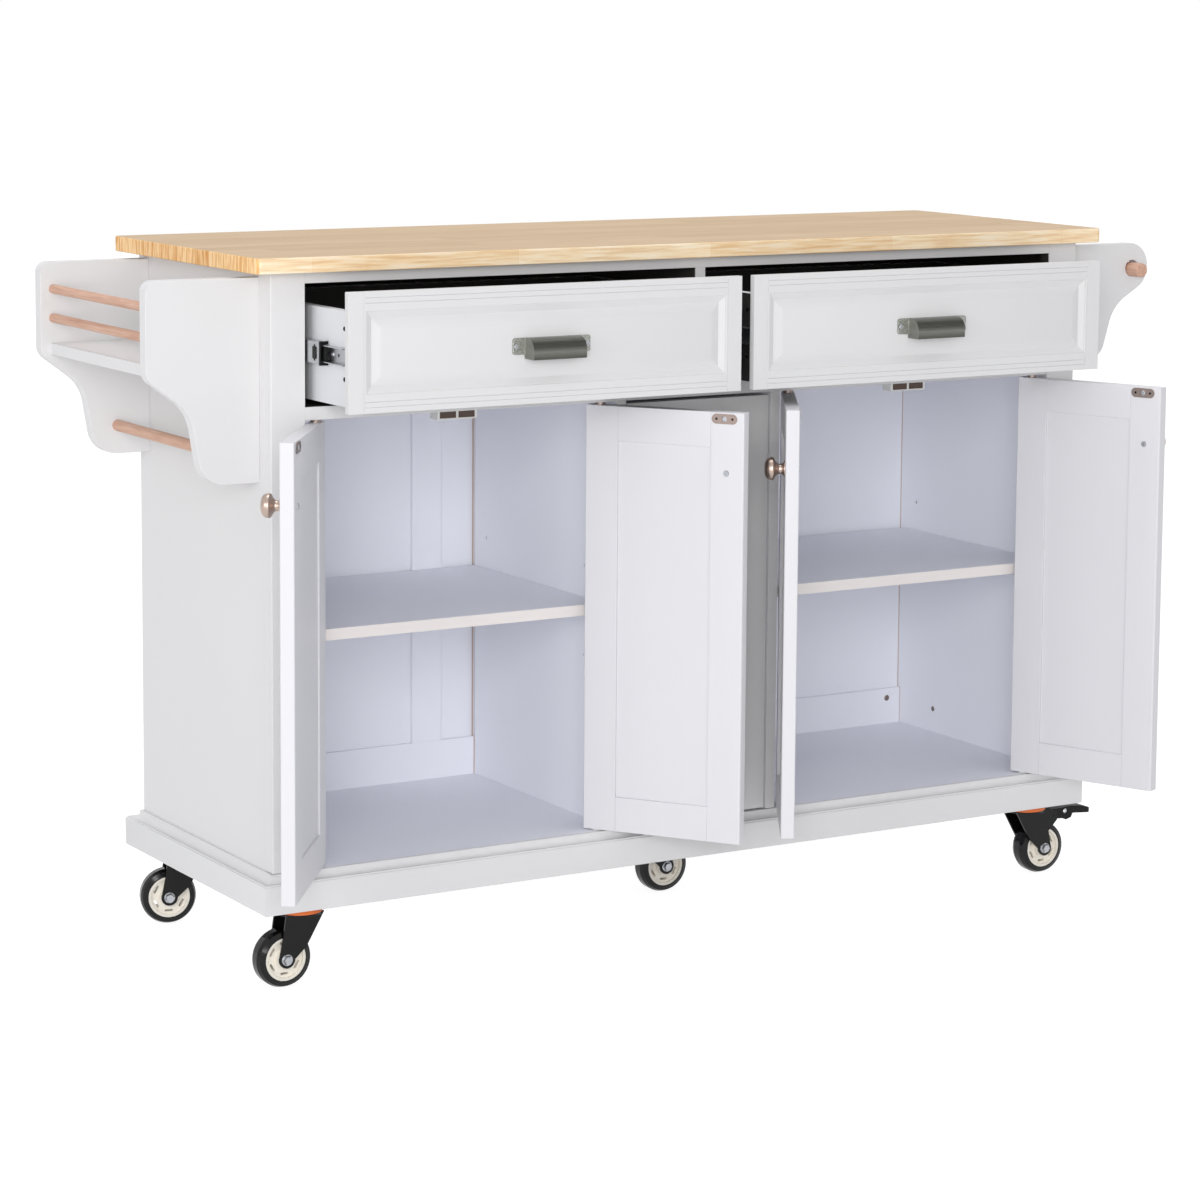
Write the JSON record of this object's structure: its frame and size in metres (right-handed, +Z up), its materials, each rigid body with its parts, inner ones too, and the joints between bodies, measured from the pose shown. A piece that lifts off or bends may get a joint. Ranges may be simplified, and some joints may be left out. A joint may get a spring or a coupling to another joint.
{
  "type": "kitchen island cart",
  "caption": "Rolling kitchen island with a wooden worktop, drawers, panelled cupboard doors, adjustable shelves, a spice rack, a towel rail and a roll holder.",
  "frame": {"origin": "middle of the whole box in plan at rest, on the floor under the wheels", "axes": "+X runs to the right along the worktop as seen from the drawers, +Y runs from the drawer side to the back, +Z is up"},
  "size_m": [1.558, 0.605, 0.928],
  "materials": {
    "butcher_block": "lacquered finger-jointed rubberwood",
    "white_paint": "satin white paint",
    "drawer_board": "matt white laminate",
    "dowel_wood": "bare turned hardwood",
    "slide_steel": "bright zinc plate",
    "zinc_steel": "zinc plate",
    "catch_plastic": "white moulded case with dark magnets",
    "caster_steel": "black powder coat",
    "seal_plastic": "orange moulded ring",
    "pewter": "dark antique pewter",
    "nickel": "brushed nickel",
    "black_steel": "black gloss coat",
    "tyre": "glossy black tread",
    "core_plastic": "cream moulded core",
    "pedal_plastic": "black moulding"
  },
  "bodies": {
    "carcass": {"worktop": "butcher_block", "side_panels": "white_paint", "face_stiles": "white_paint", "top_rails": "white_paint", "mid_board": "white_paint", "floor_boards": "white_paint", "partitions": "white_paint", "back_frame": "white_paint", "back_panels": "white_paint", "plinth_boards": "white_paint", "shelves": "white_paint", "shelf_pegs": "zinc_steel", "middle_panel": "white_paint", "spice_rack": "white_paint", "rack_dowels": "dowel_wood", "holder_brackets": "white_paint", "slide_outer": "slide_steel", "magnet_catches": "catch_plastic", "caster_plates": "caster_steel", "caster_seals": "seal_plastic"},
    "roll_rod": {"roll_rod": "dowel_wood"},
    "drawer_left": {"drawer_front_left": "white_paint", "drawer_box_left": "drawer_board", "drawer_handle_left": "pewter", "slide_inner_left": "slide_steel"},
    "slide_mid_left": {"slide_mid_left": "slide_steel"},
    "drawer_right": {"drawer_front_right": "white_paint", "drawer_box_right": "drawer_board", "drawer_handle_right": "pewter", "slide_inner_right": "slide_steel"},
    "slide_mid_right": {"slide_mid_right": "slide_steel"},
    "door_1": {"door_1": "white_paint", "door_1_knob": "nickel", "door_1_fittings": "zinc_steel"},
    "door_2": {"door_2": "white_paint", "door_2_knob": "nickel", "door_2_fittings": "zinc_steel"},
    "door_3": {"door_3": "white_paint", "door_3_knob": "nickel", "door_3_fittings": "zinc_steel"},
    "door_4": {"door_4": "white_paint", "door_4_knob": "nickel", "door_4_fittings": "zinc_steel"},
    "swivel_front_left": {"caster_fork_front_left": "black_steel"},
    "wheel_front_left": {"caster_tyre_front_left": "tyre", "caster_core_front_left": "core_plastic"},
    "swivel_front_right": {"caster_fork_front_right": "black_steel"},
    "wheel_front_right": {"caster_tyre_front_right": "tyre", "caster_core_front_right": "core_plastic"},
    "pedal_front_right": {"caster_pedal_front_right": "pedal_plastic"},
    "swivel_rear_left": {"caster_fork_rear_left": "black_steel"},
    "wheel_rear_left": {"caster_tyre_rear_left": "tyre", "caster_core_rear_left": "core_plastic"},
    "swivel_rear_right": {"caster_fork_rear_right": "black_steel"},
    "wheel_rear_right": {"caster_tyre_rear_right": "tyre", "caster_core_rear_right": "core_plastic"},
    "pedal_rear_right": {"caster_pedal_rear_right": "pedal_plastic"},
    "swivel_middle": {"caster_fork_middle": "black_steel"},
    "wheel_middle": {"caster_tyre_middle": "tyre", "caster_core_middle": "core_plastic"}
  },
  "joints": [
    {"name": "roll_rod_slide", "type": "slide", "parent": "carcass", "child": "roll_rod", "axis": [0, -1, 0], "range_m": [-0.02, 0.37]},
    {"name": "drawer_left_slide", "type": "slide", "parent": "carcass", "child": "drawer_left", "axis": [0, -1, 0], "range_m": [-0.1155, 0.1845]},
    {"name": "slide_mid_left_slide", "type": "slide", "parent": "carcass", "child": "slide_mid_left", "axis": [0, -1, 0], "range_m": [-0.05775, 0.09225]},
    {"name": "drawer_right_slide", "type": "slide", "parent": "carcass", "child": "drawer_right", "axis": [0, -1, 0], "range_m": [-0.1155, 0.1845]},
    {"name": "slide_mid_right_slide", "type": "slide", "parent": "carcass", "child": "slide_mid_right", "axis": [0, -1, 0], "range_m": [-0.05775, 0.09225]},
    {"name": "door_1_hinge", "type": "hinge", "parent": "carcass", "child": "door_1", "pos_m": [-0.561, -0.11172, 0.155], "axis": [0, 0, -1], "range_deg": [-126, 1.5]},
    {"name": "door_2_hinge", "type": "hinge", "parent": "carcass", "child": "door_2", "pos_m": [-0.149, -0.11172, 0.155], "axis": [0, 0, 1], "range_deg": [-125.5, 2]},
    {"name": "door_3_hinge", "type": "hinge", "parent": "carcass", "child": "door_3", "pos_m": [0.145, -0.11172, 0.155], "axis": [0, 0, -1], "range_deg": [-121.9, 5.6]},
    {"name": "door_4_hinge", "type": "hinge", "parent": "carcass", "child": "door_4", "pos_m": [0.557, -0.11172, 0.155], "axis": [0, 0, 1], "range_deg": [-113.6, 13.9]},
    {"name": "swivel_front_left", "type": "hinge", "parent": "carcass", "child": "swivel_front_left", "pos_m": [-0.578, -0.09372, 0.0952], "axis": [0, 0, 1], "continuous": true},
    {"name": "wheel_spin_front_left", "type": "hinge", "parent": "swivel_front_left", "child": "wheel_front_left", "pos_m": [-0.603, -0.09372, 0.0375], "axis": [0, -1, 0], "continuous": true},
    {"name": "swivel_front_right", "type": "hinge", "parent": "carcass", "child": "swivel_front_right", "pos_m": [0.574, -0.09372, 0.0952], "axis": [0, 0, 1], "continuous": true},
    {"name": "wheel_spin_front_right", "type": "hinge", "parent": "swivel_front_right", "child": "wheel_front_right", "pos_m": [0.599, -0.09372, 0.0375], "axis": [0, 1, 0], "continuous": true},
    {"name": "pedal_press_front_right", "type": "hinge", "parent": "swivel_front_right", "child": "pedal_front_right", "pos_m": [0.614, -0.09372, 0.083], "axis": [0, 1, 0], "range_deg": [0, 12]},
    {"name": "swivel_rear_left", "type": "hinge", "parent": "carcass", "child": "swivel_rear_left", "pos_m": [-0.578, 0.25428, 0.0952], "axis": [0, 0, 1], "continuous": true},
    {"name": "wheel_spin_rear_left", "type": "hinge", "parent": "swivel_rear_left", "child": "wheel_rear_left", "pos_m": [-0.60209, 0.26096, 0.0375], "axis": [-0.2672, -0.9636, 0], "continuous": true},
    {"name": "swivel_rear_right", "type": "hinge", "parent": "carcass", "child": "swivel_rear_right", "pos_m": [0.574, 0.25428, 0.0952], "axis": [0, 0, 1], "continuous": true},
    {"name": "wheel_spin_rear_right", "type": "hinge", "parent": "swivel_rear_right", "child": "wheel_rear_right", "pos_m": [0.59749, 0.26283, 0.0375], "axis": [-0.342, 0.9397, 0], "continuous": true},
    {"name": "pedal_press_rear_right", "type": "hinge", "parent": "swivel_rear_right", "child": "pedal_rear_right", "pos_m": [0.61159, 0.26796, 0.083], "axis": [-0.342, 0.9397, 0], "range_deg": [0, 12]},
    {"name": "swivel_middle", "type": "hinge", "parent": "carcass", "child": "swivel_middle", "pos_m": [0.044, 0.08028, 0.0952], "axis": [0, 0, 1], "continuous": true},
    {"name": "wheel_spin_middle", "type": "hinge", "parent": "swivel_middle", "child": "wheel_middle", "pos_m": [0.069, 0.08028, 0.0375], "axis": [0, 1, 0], "continuous": true}
  ],
  "couplings": [
    {"joint": "slide_mid_left_slide", "follows": "drawer_left_slide", "ratio": 0.5},
    {"joint": "slide_mid_right_slide", "follows": "drawer_right_slide", "ratio": 0.5}
  ]
}
